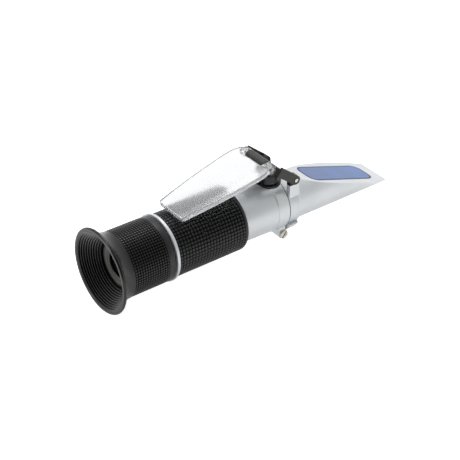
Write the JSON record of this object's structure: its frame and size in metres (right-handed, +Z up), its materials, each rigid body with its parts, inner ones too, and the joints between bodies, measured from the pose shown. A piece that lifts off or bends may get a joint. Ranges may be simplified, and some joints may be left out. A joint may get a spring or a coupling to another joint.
{
  "type": "refractometer",
  "caption": "Handheld refractometer: turning eyepiece, rubber grip, sloping prism face and a clear plate that folds over it on a two-pivot bracket.",
  "frame": {"origin": "centre of the eyecup's open end, on the optical axis", "axes": "+X along the optical axis to the prism tip, +Z up, the daylight plate on top"},
  "size_m": [0.1604, 0.04, 0.0481],
  "materials": {
    "rubber_black": "moulded black rubber, satin",
    "painted_grey": "satin light grey paint on a metal casting",
    "black_anodised": "black anodised aluminium, fine turned finish",
    "black_metal": "black textured paint on pressed metal",
    "black_plastic": "moulded black plastic, matt",
    "lens_glass": "polished optical glass",
    "prism_glass": "polished blue-tinted prism glass",
    "prism_cement": "dark blue cement line, glossy",
    "clear_plastic": "clear moulded plastic with a frosted middle",
    "nickel": "nickel plated, polished",
    "steel": "turned steel"
  },
  "bodies": {
    "barrel": {"body_tube": "painted_grey", "main_grip": "rubber_black", "reticle_ring": "black_anodised", "reticle": "lens_glass", "reticle_mount": "black_anodised", "light_baffle": "black_anodised", "objective_cell": "black_anodised", "objective_lens": "lens_glass", "seam_gasket": "black_plastic", "prism_housing": "painted_grey", "prism": "prism_glass", "prism_seal": "prism_cement", "clamp_screw": "nickel", "hinge_pin_near": "nickel", "hinge_pin_far": "nickel"},
    "lens_carriage": {"lens_tube": "black_anodised", "guide_pin": "steel", "lens_retaining_ring": "black_anodised", "ocular_lens": "lens_glass", "lens_spacer": "black_anodised", "field_lens": "lens_glass"},
    "focus": {"focus_ring": "black_anodised", "focus_grip": "rubber_black", "eyecup": "rubber_black"},
    "knob": {"calibration_knob": "black_plastic", "calibration_screw": "steel"},
    "bracket": {"hinge_bracket": "black_metal", "plate_pin": "nickel"},
    "plate": {"daylight_plate": "clear_plastic"}
  },
  "joints": [
    {"name": "focus_travel", "type": "slide", "parent": "barrel", "child": "lens_carriage", "axis": [-1, 0, 0], "range_m": [0, 0.004]},
    {"name": "focus_turn", "type": "hinge", "parent": "lens_carriage", "child": "focus", "pos_m": [0, 0, 0], "axis": [-1, 0, 0], "range_deg": [0, 240]},
    {"name": "knob_turn", "type": "hinge", "parent": "barrel", "child": "knob", "pos_m": [0.092, 0, 0.01148], "axis": [0, 0, 1], "range_deg": [-180, 180]},
    {"name": "bracket_swing", "type": "hinge", "parent": "barrel", "child": "bracket", "pos_m": [0.0986, 0, 0.0165], "axis": [0, 1, 0], "range_deg": [0, 163.5]},
    {"name": "plate_swing", "type": "hinge", "parent": "bracket", "child": "plate", "pos_m": [0.08589, 0, 0.0255], "axis": [0, 1, 0], "range_deg": [0, 47.55]}
  ],
  "couplings": [
    {"joint": "focus_travel", "follows": "focus_turn", "m_per_rad": 0.000954}
  ]
}
